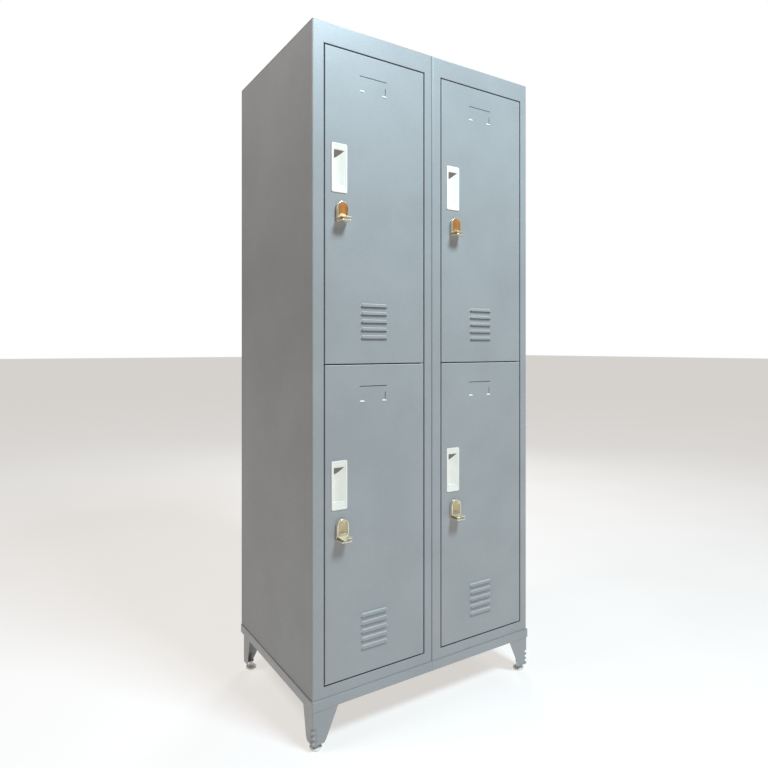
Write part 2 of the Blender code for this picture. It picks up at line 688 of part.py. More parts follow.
def main():
    clear_scene()
    build_walls()
    for side, left, right in columns():
        build_front_frame(side, left, right)
        build_shelves(side)
        build_coat_rods(side)
        build_hinge_line(side, right)
        for tier in ("upper", "lower"):
            build_door(Door(tier, side, left, right))
    build_rails()
    build_legs()


main()
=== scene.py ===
"""Looks of the steel locker cabinet: folded sheet skins, pressed details, finishes, light and camera."""
import json
import math

import bmesh
import bpy
from mathutils import Euler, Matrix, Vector


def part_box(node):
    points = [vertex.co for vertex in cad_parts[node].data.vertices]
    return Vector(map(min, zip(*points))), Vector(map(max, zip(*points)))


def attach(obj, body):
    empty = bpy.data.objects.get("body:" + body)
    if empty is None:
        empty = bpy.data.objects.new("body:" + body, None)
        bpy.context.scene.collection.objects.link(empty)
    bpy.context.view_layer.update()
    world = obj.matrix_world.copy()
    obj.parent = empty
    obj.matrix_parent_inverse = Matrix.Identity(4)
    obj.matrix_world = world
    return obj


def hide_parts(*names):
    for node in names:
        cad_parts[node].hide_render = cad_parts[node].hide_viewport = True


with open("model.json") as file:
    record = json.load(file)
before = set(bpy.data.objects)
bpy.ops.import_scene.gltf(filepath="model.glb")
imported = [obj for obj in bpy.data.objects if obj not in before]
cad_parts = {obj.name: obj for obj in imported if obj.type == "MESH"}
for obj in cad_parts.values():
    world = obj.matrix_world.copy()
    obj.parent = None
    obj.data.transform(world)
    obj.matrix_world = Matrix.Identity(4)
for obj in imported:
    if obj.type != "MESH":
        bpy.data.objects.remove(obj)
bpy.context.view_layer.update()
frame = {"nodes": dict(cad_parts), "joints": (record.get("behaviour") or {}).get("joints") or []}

# ---- what the frame gives -------------------------------------------------------------------------
NODES = frame["nodes"]
SIDES = ("left", "right")
TIERS = ("upper", "lower")
ENDS = ("front", "rear")
JOINTS = {joint["name"]: joint for joint in frame["joints"]}
FRAME_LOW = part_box("left_front_frame")[0]
FRONT = FRAME_LOW.y
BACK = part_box("back_panel")[1].y
HALF = -FRAME_LOW.x

# ---- sheet, folds and clearances, in metres ---------------------------------------------------------
SHEET = 0.0008
RAIL_SHEET = 0.0012
LEG_SHEET = 0.0015
FIT = 0.0003
DOOR_GAP = 0.003
SEAM_GAP = 0.0011
STOP_LIP = 0.010
DOOR_LIP = 0.010
BODY_FOLD = 0.0026
SEAM_FOLD = 0.0045
OPENING_FOLD = 0.0014
DOOR_FOLD = 0.0021
RAIL_FOLD = 0.0030
FOLD_STEPS = 5
FOOT_SHARE = 0.12  # how much of a fold is left where the sheet meets the base rail

# ---- pressed features of a door, from its latch edge, its bottom and its top --------------------------
LOUVRES = 5
LOUVRE_WIDTH = 0.088
LOUVRE_HEIGHT = 0.0090
LOUVRE_PROUD = 0.0046
LOUVRE_BROW = 0.70  # the upright lip's share of the height
LOUVRE_PITCH = 0.021
LOUVRE_FROM_LATCH_EDGE = 0.105
LOUVRE_RISE = 0.066
LOUVRE_SLOT_INSET = 0.003
LOUVRE_SLOT_DROP = 0.0010
LOUVRE_SLOT_SHARE = 0.6  # height of the slot behind a louvre, as a share of the louvre's
CARD_FROM_LATCH_EDGE = 0.104
CARD_WIDTH = 0.086
CARD_HEIGHT = 0.042
CARD_DROP = 0.056
CARD_SLIT = 0.0018
CARD_SLIT_INSET = 0.004
CARD_SLIT_RISE = 0.0042
CARD_SLIT_TOP = 0.024
CARD_TAB = 0.0155
CARD_TAB_HEIGHT = 0.0042
CARD_TAB_PROUD = 0.0014
CARD_TAB_BROW = 0.10

# ---- a pressed hood, as shares of its height, width and depth -----------------------------------------
HOOD_SLICES = 24
HOOD_RUN_OUT = 0.70  # length of an end's swell by the hood's height, and at most by its width
HOOD_LONGEST_RUN_OUT = 0.3
HOOD_LEAST_SWELL = 0.03
HOOD_END_CREST = 0.30  # height that is left of the crest at the very end
HOOD_STRIP = ((0.50, 0.52), (0.12, 0.90), (0.0, 0.97))  # height above the brow, depth
HOOD_LIP_BEND = 0.15  # part of the lip that rounds into the strip
HOOD_LEAST_LIP = 0.0004  # metres

# ---- holes cut in a door behind its fittings --------------------------------------------------------
CUT_DEPTH = 2.5 * SHEET
PULL_HOLE_INSET = 0.0045
PULL_HOLE_RISE = 0.013
PULL_HOLE_DROP = 0.015
HASP_HOLE_RADIUS = 0.0093

# ---- pull: a rim, a band one step below it, and the pocket's mouth in the band ------------------------
PULL_CORNER = 0.0045
PULL_EDGE = 0.0014
PULL_STEP = 0.0007
PULL_MOUTH_INSET = 0.0070
PULL_MOUTH_RISE = 0.0155
PULL_MOUTH_DROP = 0.0175
PULL_BAND_MARGIN = 0.0008
PULL_BAND_RISE = 0.0065
PULL_BAND_DROP = 0.0060
PULL_BAND_CORNERS = (0.0020, 0.0018, 0.0016)
PULL_MOUTH_CORNERS = (0.0012, 0.0010)
PULL_SKIRT = 0.0012
PULL_BEVEL = 0.0006
PULL_MOUTH_STEP = 0.0005
# the pocket's floor lies POCKET_DEPTH behind the door's face on the latch side and scoops up from there
POCKET_DEPTH = 0.0115
POCKET_SCOOP = 0.0133
POCKET_POWER = 1.3
POCKET_WALL = 0.0012
POCKET_OVERLAP = 0.0003
POCKET_RIM_DROP = 0.0002
POCKET_LEAST_DEPTH = 0.0004
POCKET_EDGE_SHARE = 0.012
POCKET_COLUMNS = 30
POCKET_ROWS = 36
POCKET_ROOF = 0.024  # height that is finely divided for the roof
POCKET_ROOF_SLOPE = 0.56  # depth by height
SILL_HEIGHT = 0.0050
SILL_EDGE = 0.0006
SILL_DROP = 0.0008

# ---- hasp -------------------------------------------------------------------------------------------
FLANGE = 0.0027
FLANGE_HALF_WIDTH = 0.016
FLANGE_CORNER = 0.0035
FLANGE_ROOT = 0.001  # how far a flange runs into its plate
FLANGE_POINTS = 64
EYE_RADIUS = 0.0042
EYE_FROM_TIP = 0.0085
EYE_BEVEL = 0.0004
HASP_PLATE_PROUD = 0.0023
HASP_PLATE_EDGE = 0.0008
HASP_PLATE_CROWN = 0.0035
KNOB_PROUD = 0.010
KNOB_BACK_PROUD = 0.0027
KNOB_CROWN = 0.003
KNOB_FOOT = 0.024
KNOB_EDGE = 0.0012
KNOB_BACK_EDGE = 0.0006
KNOB_RIM = 0.0029
DISH_DEPTH = 0.0046
DISH_STEPS = 7
DISH_POWER = 0.7
DISH_FLAT_RADIUS = 0.0015
ARCH_CORNER = 0.0018
ARCH_LEAST_CORNER = 0.0005
ARCH_CORNER_LOSS = 0.2  # what a corner loses of its radius for each unit of inset
ARCH_CORNER_STEPS = 4
SLEEVE = ((0.0090, -FIT), (0.0090, 0.0092), (0.0084, 0.0100))  # radius, place behind the door's face
SPINDLE_RADIUS = 0.0030
SPINDLE_END_RADIUS = 0.0025

# ---- legs and glides --------------------------------------------------------------------------------
LEG_BEND = 0.004
LEG_BEND_STEPS = 6
LEG_FRONT_FOOT = 0.533  # width at the foot as a share of the width at the rail
LEG_SIDE_FOOT = 0.692
LEG_CUT_HEIGHT = 0.009
LEG_CUT = 0.006
LEG_SPREAD = (1.0, 0.86, 0.72, 0.60)  # columns of points across a face: shares of its width, then metres
LEG_NEAR_FOLD = (0.0165, 0.0148, 0.0130, 0.0110, 0.0090, 0.0070, 0.0052)
PLATE_HUB = 0.0085
PLATE_CUT = 0.009
PLATE_THICKNESS = 0.0025
PLATE_STEPS = 12
# each dart: height on the leg, reach from the fold, half its height
DARTS = ((0.0100, 0.0150, 0.0058), (0.0235, 0.0155, 0.0060), (0.0380, 0.0110, 0.0058))
DART_DEPTH = 0.0036
DARTED_HEIGHT = 0.046
DARTED_ROWS = 46
PLAIN_ROWS = 6
STUD_ABOVE_PLATE = 0.024
STUD_BELOW_PLATE = 0.004
THREAD_RADIUS = 0.0039
THREAD_DEPTH = 0.0006
THREAD_PITCH = 0.00125
THREAD_SIDES = 16
THREAD_ROWS_PER_TURN = 6
NUT_RADIUS = 0.0072
NUT_BEVEL_RADIUS = 0.0068

# ---- camera, light and stage ------------------------------------------------------------------------
CAMERA_X = -1.0618
CAMERA_FROM_FRONT = 1.3247
CAMERA_Z = 1.0209
CAMERA_YAW = 31.17
CAMERA_LENS = 27.76
CAMERA_SENSOR = 36.0
CAMERA_SHIFT = (0.0398, -0.0475)
# each area light: name, place, target, size in metres, watts, colour
LIGHTS = (
    ("key", (0.45, -2.15, 3.55), (0.0, FRONT, 1.15), (1.0, 0.8), 132, (0.66, 0.87, 1.0)),
    ("side", (-1.8, 0.2, 2.9), (-HALF, 0.0, 1.7), (0.8, 0.8), 26, (1.0, 0.99, 0.98)),
    ("rear", (2.4, 2.8, 2.4), (0.0, 0.0, 1.0), (1.2, 1.2), 34, (1.0, 0.99, 0.97)),
)
SURROUND_COLOUR = (0.97, 0.98, 1.0, 1)
SURROUND_STRENGTH = 0.13
FLOOR_HALF = 60.0
FLOOR_COLOURS = ((0.47, 0.45, 0.44), (0.50, 0.48, 0.47))
FLOOR_GLOW = (1.0, 0.96, 0.92, 1)
FLOOR_GLOW_STRENGTH = 0.60

TINY = 1e-6  # keeps a division finite
LEAST_SIDE = 1e-5  # keeps the sides of a rounded rectangle apart


# ---- mesh helpers ---------------------------------------------------------------------------------
class Piece:
    """Closed shells gathered into one object; each shell names the finish it takes."""

    def __init__(self, name):
        self.name = name
        self.points = []
        self.faces = []
        self.finish = []
        self.finishes = []

    def index(self, finish):
        """The finish's place in the object's material slots, added at the end if it is new."""
        if finish not in self.finishes:
            self.finishes.append(finish)
        return self.finishes.index(finish)

    def shell(self, points, faces, finish):
        start = len(self.points)
        self.points += [tuple(p) for p in points]
        self.faces += [tuple(start + i for i in face) for face in faces]
        self.finish += [self.index(finish)] * len(faces)
        return self

    def repaint(self, faces, finish):
        """Give faces, by their numbers, another finish."""
        for face in faces:
            self.finish[face] = self.index(finish)

    def loft(self, rings, finish, closed=False):
        """Skin rings of equal length; cap both ends unless the skin closes on itself."""
        size = len(rings[0])
        points = [point for level in rings for point in level]
        faces = []
        for i in range(len(rings) if closed else len(rings) - 1):
            a = i * size
            b = (i + 1) % len(rings) * size
            for j in range(size):
                k = (j + 1) % size
                faces.append((a + j, a + k, b + k, b + j))
        if not closed:
            faces.append(tuple(range(size)))
            faces.append(tuple(range(len(points) - size, len(points))))
        return self.shell(points, faces, finish)

    def make(self, sharp=35, weighted=False):
        """The object, with its normals outward; edges sharper than the angle stay crisp."""
        mesh = bpy.data.meshes.new(self.name)
        mesh.from_pydata(self.points, [], self.faces)
        for finish in self.finishes:
            mesh.materials.append(finish)
        mesh.polygons.foreach_set("material_index", self.finish)
        work = bmesh.new()
        work.from_mesh(mesh)
        bmesh.ops.recalc_face_normals(work, faces=work.faces)
        work.to_mesh(mesh)
        work.free()
        mesh.shade_smooth()
        mesh.set_sharp_from_angle(angle=math.radians(sharp))
        item = bpy.data.objects.new(self.name, mesh)
        bpy.context.scene.collection.objects.link(item)
        if weighted:
            weigh_normals(item)
        return item


def weigh_normals(item):
    """Large flat faces keep their own shading and the folds beside them take up the turn."""
    modifier = item.modifiers.new("weighted_normals", "WEIGHTED_NORMAL")
    modifier.mode = "FACE_AREA"
    modifier.keep_sharp = True


def along(axis, a, b, c):
    """A point at (a, b) across an axis and c along it."""
    if axis == "X":
        return (c, a, b)
    if axis == "Y":
        return (a, c, b)
    return (a, b, c)


# the sides of a ring() in the order in which loft() skins them
FOOT_SIDE, RIGHT_SIDE, TOP_SIDE, LEFT_SIDE = range(4)
RING_SIDES = 4


def ring(axis, rect, c, inset=0.0):
    """The four corners of rect = (a0, a1, b0, b1), moved in by inset, at c along the axis."""
    a0, a1, b0, b1 = rect[0] + inset, rect[1] - inset, rect[2] + inset, rect[3] - inset
    return [along(axis, a, b, c) for a, b in ((a0, b0), (a1, b0), (a1, b1), (a0, b1))]


def fold(radius, steps=FOLD_STEPS):
    """(inset, depth) pairs of a quarter turn, from a side wall round to the face."""
    turns = [math.pi / 2 * i / steps for i in range(steps + 1)]
    return [(radius * (1 - math.cos(t)), radius * (1 - math.sin(t))) for t in turns]


def round_rect(rect, radius, steps=5):
    """Outline of a rectangle with round corners, as (a, b) pairs."""
    a0, a1, b0, b1 = rect
    radius = max(min(radius, (a1 - a0) / 2 - LEAST_SIDE, (b1 - b0) / 2 - LEAST_SIDE), LEAST_SIDE)
    corners = ((a1 - radius, b1 - radius, 0), (a0 + radius, b1 - radius, 1),
               (a0 + radius, b0 + radius, 2), (a1 - radius, b0 + radius, 3))
    outline = []
    for a, b, quarter in corners:
        for i in range(steps + 1):
            t = math.pi / 2 * (quarter + i / steps)
            outline.append((a + radius * math.cos(t), b + radius * math.sin(t)))
    return outline


def shrink(rect, inset):
    """A rectangle moved in by inset on all four sides."""
    return (rect[0] + inset, rect[1] - inset, rect[2] + inset, rect[3] - inset)


def circle(radius, count, start=0.0):
    """Points round a circle as (a, b) pairs, from the start angle."""
    turns = [start + 2 * math.pi * i / count for i in range(count)]
    return [(radius * math.cos(t), radius * math.sin(t)) for t in turns]


def smooth_step(t):
    """0 to 1 with a level start and end."""
    t = max(0.0, min(1.0, t))
    return t * t * (3 - 2 * t)


def flat(outline, y):
    """An (x, z) outline stood upright at y."""
    return [(a, y, b) for a, b in outline]


def turned(piece, finish, axis, centre, profile, sides=48):
    """A turned shell from (radius, place along the axis) pairs."""
    centre = Vector(centre)
    rings = [[centre + Vector(along(axis, a, b, place)) for a, b in circle(radius, sides)]
             for radius, place in profile]
    return piece.loft(rings, finish)


def backed_sheet(piece, skin, back, wide, finish):
    """A closed sheet from a grid of points, wide points to a row, and the same grid behind it."""
    size = len(skin)
    tall = size // wide
    faces = []
    for row in range(tall - 1):
        for column in range(wide - 1):
            a = row * wide + column
            b = a + size
            faces += [(a, a + 1, a + wide + 1, a + wide), (b, b + wide, b + wide + 1, b + 1)]
    border = list(range(wide))
    border += [row * wide + wide - 1 for row in range(1, tall)]
    border += [size - wide + column for column in range(wide - 2, -1, -1)]
    border += [row * wide for row in range(tall - 2, 0, -1)]
    for a, b in zip(border, border[1:] + border[:1]):
        faces.append((a, a + size, b + size, b))
    piece.shell(skin + back, faces, finish)
    return faces


def cut(item, tools):
    """Cut closed tools out of an item and keep the result as its mesh."""
    for tool in tools:
        modifier = item.modifiers.new("cut", "BOOLEAN")
        modifier.operation = "DIFFERENCE"
        modifier.solver = "EXACT"
        modifier.object = tool
    bpy.context.view_layer.update()
    evaluated = item.evaluated_get(bpy.context.evaluated_depsgraph_get())
    mesh = bpy.data.meshes.new_from_object(evaluated)
    item.modifiers.clear()
    item.data = mesh
    for tool in tools:
        bpy.data.objects.remove(tool, do_unlink=True)


def join(item, other):
    """Add another object's mesh and its finishes to an item's mesh."""
    slots = item.data.materials
    places = []
    for finish in other.data.materials:
        if finish.name not in slots:
            slots.append(finish)
        places.append(slots.find(finish.name))
    for polygon in other.data.polygons:
        polygon.material_index = places[polygon.material_index]
    work = bmesh.new()
    work.from_mesh(item.data)
    work.from_mesh(other.data)
    work.to_mesh(item.data)
    work.free()
    bpy.data.objects.remove(other, do_unlink=True)


# ---- finishes -------------------------------------------------------------------------------------
class Finish:
    """A procedural material; its nodes are added one by one."""

    def __init__(self, name, roughness, metallic=0.0, **sockets):
        self.material = bpy.data.materials.new(name)
        self.material.use_nodes = True
        self.tree = self.material.node_tree
        self.shader = self.tree.nodes["Principled BSDF"]
        self.shader.inputs["Roughness"].default_value = roughness
        self.shader.inputs["Metallic"].default_value = metallic
        for socket, value in sockets.items():
            self.shader.inputs[socket.replace("_", " ")].default_value = value
        self.place = self.add("ShaderNodeTexCoord").outputs["Object"]
        self.normal = None

    def add(self, kind):
        return self.tree.nodes.new(kind)

    def link(self, out, into):
        self.tree.links.new(out, into)

    def noise(self, scale, detail=2.0, roughness=0.5, stretch=None):
        """A noise value in the object's own metres."""
        where = self.place
        if stretch:
            mapping = self.add("ShaderNodeMapping")
            mapping.inputs["Scale"].default_value = stretch
            self.link(where, mapping.inputs["Vector"])
            where = mapping.outputs["Vector"]
        texture = self.add("ShaderNodeTexNoise")
        texture.inputs["Scale"].default_value = scale
        texture.inputs["Detail"].default_value = detail
        texture.inputs["Roughness"].default_value = roughness
        self.link(where, texture.inputs["Vector"])
        return texture.outputs["Fac"]

    def span(self, value, low, high, start=0.35, stop=0.65):
        """Spread a noise value between two numbers."""
        remap = self.add("ShaderNodeMapRange")
        remap.inputs["From Min"].default_value = start
        remap.inputs["From Max"].default_value = stop
        remap.inputs["To Min"].default_value = low
        remap.inputs["To Max"].default_value = high
        self.link(value, remap.inputs["Value"])
        return remap.outputs["Result"]

    def blend(self, value, first, second, start=0.35, stop=0.65):
        """A colour that runs from first to second with a noise value."""
        ramp = self.add("ShaderNodeValToRGB")
        ramp.color_ramp.elements[0].position = start
        ramp.color_ramp.elements[0].color = (*first, 1)
        ramp.color_ramp.elements[1].position = stop
        ramp.color_ramp.elements[1].color = (*second, 1)
        self.link(value, ramp.inputs["Fac"])
        return ramp.outputs["Color"]

    def multiply(self, first, second):
        mix = self.add("ShaderNodeMix")
        mix.data_type = "RGBA"
        mix.blend_type = "MULTIPLY"
        mix.inputs["Factor"].default_value = 1.0
        self.link(first, mix.inputs["A"])
        self.link(second, mix.inputs["B"])
        return mix.outputs["Result"]

    def colour(self, value):
        """Take the surface colour from a node's output; roughness() does the same for the gloss."""
        self.link(value, self.shader.inputs["Base Color"])

    def roughness(self, value):
        self.link(value, self.shader.inputs["Roughness"])

    def bump(self, value, strength, distance):
        """Relief in metres, laid over the relief that is there already."""
        node = self.add("ShaderNodeBump")
        node.inputs["Strength"].default_value = strength
        node.inputs["Distance"].default_value = distance
        self.link(value, node.inputs["Height"])
        if self.normal:
            self.link(self.normal, node.inputs["Normal"])
        self.normal = node.outputs["Normal"]
        self.link(self.normal, self.shader.inputs["Normal"])


def tinted(colour, share):
    """A colour made darker or lighter by a share, white at most."""
    return tuple(min(1.0, c * share) for c in colour)


def powder_coat(name, colour, peel, roughness):
    """Hammered powder coat: fine speckle, orange-peel relief and slow drift of shade."""
    finish = Finish(name, roughness, Specular_IOR_Level=0.6)
    drift = finish.blend(finish.noise(scale=6, detail=3), tinted(colour, 0.96), tinted(colour, 1.04))
    speckle = finish.blend(finish.noise(scale=420, detail=3, roughness=0.7), (0.87, 0.87, 0.87),
                           (1.0, 1.0, 1.0), start=0.3, stop=0.7)
    finish.colour(finish.multiply(drift, speckle))
    finish.roughness(finish.span(finish.noise(scale=260), low=roughness - 0.06, high=roughness + 0.08))
    finish.bump(finish.noise(scale=430, detail=1.5, roughness=0.4), strength=peel, distance=0.0005)
    finish.bump(finish.noise(scale=1300, detail=1), strength=peel * 0.5, distance=0.0002)
    return finish.material


def moulded_plastic(name, colour, roughness, subsurface=0.0):
    """Satin plastic with a faint grain."""
    finish = Finish(name, roughness, Coat_Weight=0.15, Coat_Roughness=0.2, Subsurface_Weight=subsurface,
                    Subsurface_Scale=0.004)
    finish.colour(finish.blend(finish.noise(scale=35, detail=3), tinted(colour, 0.965), tinted(colour, 1.0)))
    finish.roughness(finish.span(finish.noise(scale=500), low=roughness - 0.05, high=roughness + 0.1))
    finish.bump(finish.noise(scale=1500), strength=0.08, distance=0.0002)
    return finish.material


def plated_metal(name, colour, roughness, grain=0.04, metallic=1.0):
    """Plating with a drawn grain and slightly uneven gloss."""
    finish = Finish(name, roughness, metallic)
    finish.colour(finish.blend(finish.noise(scale=90, detail=3), tinted(colour, 0.90), colour))
    uneven = finish.noise(scale=700, detail=3, roughness=0.6)
    finish.roughness(finish.span(uneven, low=roughness * 0.85, high=roughness * 1.25))
    finish.bump(finish.noise(scale=220, stretch=(1.0, 1.0, 0.25)), strength=grain, distance=0.0002)
    return finish.material


FRONT_PAINT = powder_coat("front_powder_coat", (0.368, 0.368, 0.363), peel=0.36, roughness=0.38)
# painted shade: the side, back and top sheets take a darker copy of the front's coat, for the sides the light
# reaches less
BODY_COAT_WITH_PAINTED_SHADE = powder_coat("body_coat_painted_shade", (0.278, 0.276, 0.274), peel=0.24, roughness=0.44)
# painted shade: the parts inside the cabinet take a darker coat than the front, for the shade inside it
INNER_COAT_WITH_PAINTED_SHADE = powder_coat("inner_coat_painted_shade", (0.200, 0.214, 0.222), peel=0.16, roughness=0.55)
# painted shade: a dark coat on the walls of the gaps round the doors and along the seam
PAINTED_GAP_SHADE = powder_coat("painted_gap_shade_coat", (0.13, 0.14, 0.15), peel=0.12, roughness=0.60)
# painted highlight: a light coat on the louvres' sloping strips and on a lower door's top fold
PAINTED_CREST_HIGHLIGHT = powder_coat("painted_crest_highlight_coat", (0.62, 0.60, 0.585), peel=0.10, roughness=0.30)
# painted highlight: a near-white coat on the card tabs
PAINTED_TAB_HIGHLIGHT = powder_coat("painted_card_tab_highlight", (0.86, 0.86, 0.85), peel=0.08, roughness=0.32)
PULL_PLASTIC = moulded_plastic("white_pull_plastic", (0.91, 0.85, 0.75), roughness=0.40, subsurface=0.02)
# painted shadow: a dark coat on the sloping roof at the top of each pull's pocket
PAINTED_POCKET_SHADOW = moulded_plastic("painted_pocket_shadow_plastic", (0.20, 0.17, 0.145), roughness=0.6)
NYLON = moulded_plastic("cream_nylon", (0.93, 0.91, 0.84), roughness=0.42, subsurface=0.1)
HASP_METAL = plated_metal("hasp_plating", (0.90, 0.80, 0.62), roughness=0.24, metallic=0.65)
# painted reflection: the dishes take a darker, warmer plating than the rest of the hasp, orange on the upper
# doors and tan on the lower
PAINTED_DISH_REFLECTIONS = {
    "upper": plated_metal("dish_with_painted_warm_reflection", (0.70, 0.30, 0.09), roughness=0.34, metallic=0.6),
    "lower": plated_metal("dish_with_painted_pale_reflection", (0.60, 0.48, 0.29), roughness=0.38, metallic=0.6),
}
ZINC = plated_metal("zinc_plating", (0.62, 0.63, 0.65), roughness=0.32, grain=0.10)


def show(item, body, slot, *nodes):
    """Hang a visible piece on its body in place of CAD nodes."""
    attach(item, body)
    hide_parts(*nodes)


# ---- carcass --------------------------------------------------------------------------------------
def build_front_frame(side):
    """Face with rolled outer edges, returns round the opening and the stop lip behind the doors."""
    low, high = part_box(side + "_front_frame")
    seam_left, seam_right = (0.0, 1.0) if side == "left" else (1.0, 0.0)
    outer = (low.x + SEAM_GAP * seam_left, high.x - SEAM_GAP * seam_right, low.z, high.z)
    seam_extra = SEAM_FOLD / BODY_FOLD - 1
    widen_left, widen_right = 1 + seam_extra * seam_left, 1 + seam_extra * seam_right

    def edge_ring(y, inset):
        """The outer edge; the fold is widest at the seam and least where the sheet meets the base rail."""
        left, right = outer[0] + inset * widen_left, outer[1] - inset * widen_right
        return ring("Y", (left, right, outer[2] + inset * FOOT_SHARE, outer[3] - inset), y)

    door_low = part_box(f"lower_{side}_door_panel")[0]
    door_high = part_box(f"upper_{side}_door_panel")[1]
    opening = (door_low.x - DOOR_GAP, door_high.x + DOOR_GAP, door_low.z - DOOR_GAP, door_high.z + DOOR_GAP)
    edge = FRONT + BODY_FOLD + FIT
    lip_face = high.y - SHEET
    rings = [ring("Y", outer, edge)]
    rings += [edge_ring(FRONT + depth, inset) for inset, depth in fold(BODY_FOLD)]
    rings += [ring("Y", opening, FRONT + depth, -inset) for inset, depth in fold(OPENING_FOLD)[::-1]]
    opening_wall = len(rings) - 1
    rings += [
        ring("Y", opening, lip_face),
        ring("Y", opening, lip_face, STOP_LIP),
        ring("Y", opening, high.y, STOP_LIP),
        ring("Y", opening, high.y, -SHEET),
        ring("Y", opening, FRONT + BODY_FOLD, -SHEET),
        edge_ring(FRONT + BODY_FOLD, BODY_FOLD),
        edge_ring(edge, SHEET),
    ]
    name = side + "_front_frame"
    piece = Piece(name + "_skin").loft(rings, FRONT_PAINT, closed=True)
    # painted shade: the opening's wall and the stop lip take the dark gap coat, and so do the wall and the
    # fold's start at the seam
    piece.repaint(range(RING_SIDES * opening_wall, RING_SIDES * (opening_wall + 4)), PAINTED_GAP_SHADE)
    seam_side = RIGHT_SIDE if side == "left" else LEFT_SIDE
    piece.repaint([RING_SIDES * i + seam_side for i in range(3)], PAINTED_GAP_SHADE)
    show(piece.make(weighted=True), "cabinet", "painted_front", name)


def build_wall(name, axis, rect, face, inner, edges=BODY_FOLD, foot_share=FOOT_SHARE):
    """An outer sheet from its face to inner: edges rolled by a radius, then a turned-in flange."""
    step = math.copysign(1.0, inner - face)

    def edge_ring(inset, depth):
        a0, a1, _, b1 = shrink(rect, inset)
        return ring(axis, (a0, a1, rect[2] + inset * foot_share, b1), face + step * depth)

    rings = [edge_ring(inset, depth) for inset, depth in fold(edges)[::-1]]
    rings += [ring(axis, rect, inner), ring(axis, rect, inner, SHEET),
              ring(axis, rect, face + step * SHEET, SHEET + edges)]
    # painted shade: these sheets take the darker copy of the front's coat
    item = Piece(name + "_skin").loft(rings, BODY_COAT_WITH_PAINTED_SHADE).make(weighted=True)
    show(item, "cabinet", "painted_panel", name)


def build_walls():
    """Side panels, back and top, a fit behind the front frame's edge."""
    start = FRONT + BODY_FOLD + 2 * FIT
    for side, sign in (("left", -1), ("right", 1)):
        low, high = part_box(side + "_side_panel")
        inner = low.x if side == "right" else high.x
        build_wall(side + "_side_panel", "X", (start, high.y, low.z, high.z), sign * HALF, inner)
    low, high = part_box("back_panel")
    build_wall("back_panel", "Y", (low.x, high.x, low.z, high.z), high.y, low.y, SHEET / 2)
    low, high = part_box("top_panel")
    build_wall("top_panel", "Z", (low.x, high.x, start, high.y), high.z, low.z, SHEET / 2, 1.0)


# ---- doors ----------------------------------------------------------------------------------------
def add_hood(piece, across, z_joint, z_open, proud, brow_share, finish, painted_highlight_finish):
    """A pressed hood between the two places in across, open at its foot.

    A sloping strip runs out from the face at z_joint to an upright lip, which takes brow_share of the
    height and ends at z_open. Both ends swell smoothly out of the sheet. The strip's faces take a lighter
    coat of painted highlight.
    """
    x0, x1 = across
    height = z_joint - z_open
    run_out = min(HOOD_RUN_OUT * height, HOOD_LONGEST_RUN_OUT * (x1 - x0))
    rings = []
    for i in range(HOOD_SLICES + 1):
        share = (1 - math.cos(math.pi * i / HOOD_SLICES)) / 2
        swell = max(smooth_step(min(share, 1 - share) * (x1 - x0) / run_out), HOOD_LEAST_SWELL)
        x = x0 + share * (x1 - x0)
        crest = z_open + height * (HOOD_END_CREST + (1 - HOOD_END_CREST) * swell)
        brow = z_open + height * brow_share * swell + HOOD_LEAST_LIP
        out = proud * swell
        outer = [(crest, 0.0)]
        outer += [(brow + up * (crest - brow), reach * out) for up, reach in HOOD_STRIP]
        outer += [(brow - HOOD_LIP_BEND * (brow - z_open), out), (z_open, out)]
        inner = [(z, depth - SHEET) for z, depth in outer]
        inner[0] = (crest, -SHEET / 2)
        rings.append([(x, FRONT - depth, z) for z, depth in outer + inner[::-1]])
    start = len(piece.faces)
    size = len(rings[0])
    piece.loft(rings, finish)
    # painted highlight: the sloping strip's faces take the light coat given for them
    for i in range(HOOD_SLICES):
        piece.repaint((start + i * size, start + i * size + 1), painted_highlight_finish)


def slot_cutter(rect):
    """A block that cuts a slot through a door's sheet."""
    rings = [ring("Y", rect, FRONT - SHEET), ring("Y", rect, FRONT + CUT_DEPTH)]
    return Piece("cutter").loft(rings, FRONT_PAINT).make()


def round_cutter(x, z, radius):
    """A cylinder that cuts a round hole through a door's sheet."""
    profile = ((radius, -SHEET), (radius, CUT_DEPTH))
    return turned(Piece("cutter"), FRONT_PAINT, "Y", (x, FRONT, z), profile).make()


def door_tray(name):
    """Folded tray; its top and bottom walls take a dark coat of painted shade, and a lower door's top fold a
    light coat of painted highlight.
    """
    low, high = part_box(name + "_door_panel")
    rect = (low.x, high.x, low.z, high.z)
    rings = [ring("Y", rect, FRONT + depth, inset) for inset, depth in fold(DOOR_FOLD)[::-1]]
    rings += [
        ring("Y", rect, high.y),
        ring("Y", rect, high.y, DOOR_LIP),
        ring("Y", rect, high.y - SHEET, DOOR_LIP),
        ring("Y", rect, high.y - SHEET, SHEET),
        ring("Y", rect, FRONT + DOOR_FOLD, SHEET),
        ring("Y", rect, FRONT + SHEET, DOOR_FOLD),
    ]
    piece = Piece(name + "_door_skin").loft(rings, FRONT_PAINT)
    # painted shade: the tray's top and bottom walls take the dark gap coat
    piece.repaint([RING_SIDES * FOLD_STEPS + side for side in (FOOT_SIDE, TOP_SIDE)], PAINTED_GAP_SHADE)
    # painted highlight: the light crest coat on a lower door's top fold
    if name.startswith("lower"):
        piece.repaint([RING_SIDES * step + TOP_SIDE for step in range(1, FOLD_STEPS)], PAINTED_CREST_HIGHLIGHT)
    return piece.make()


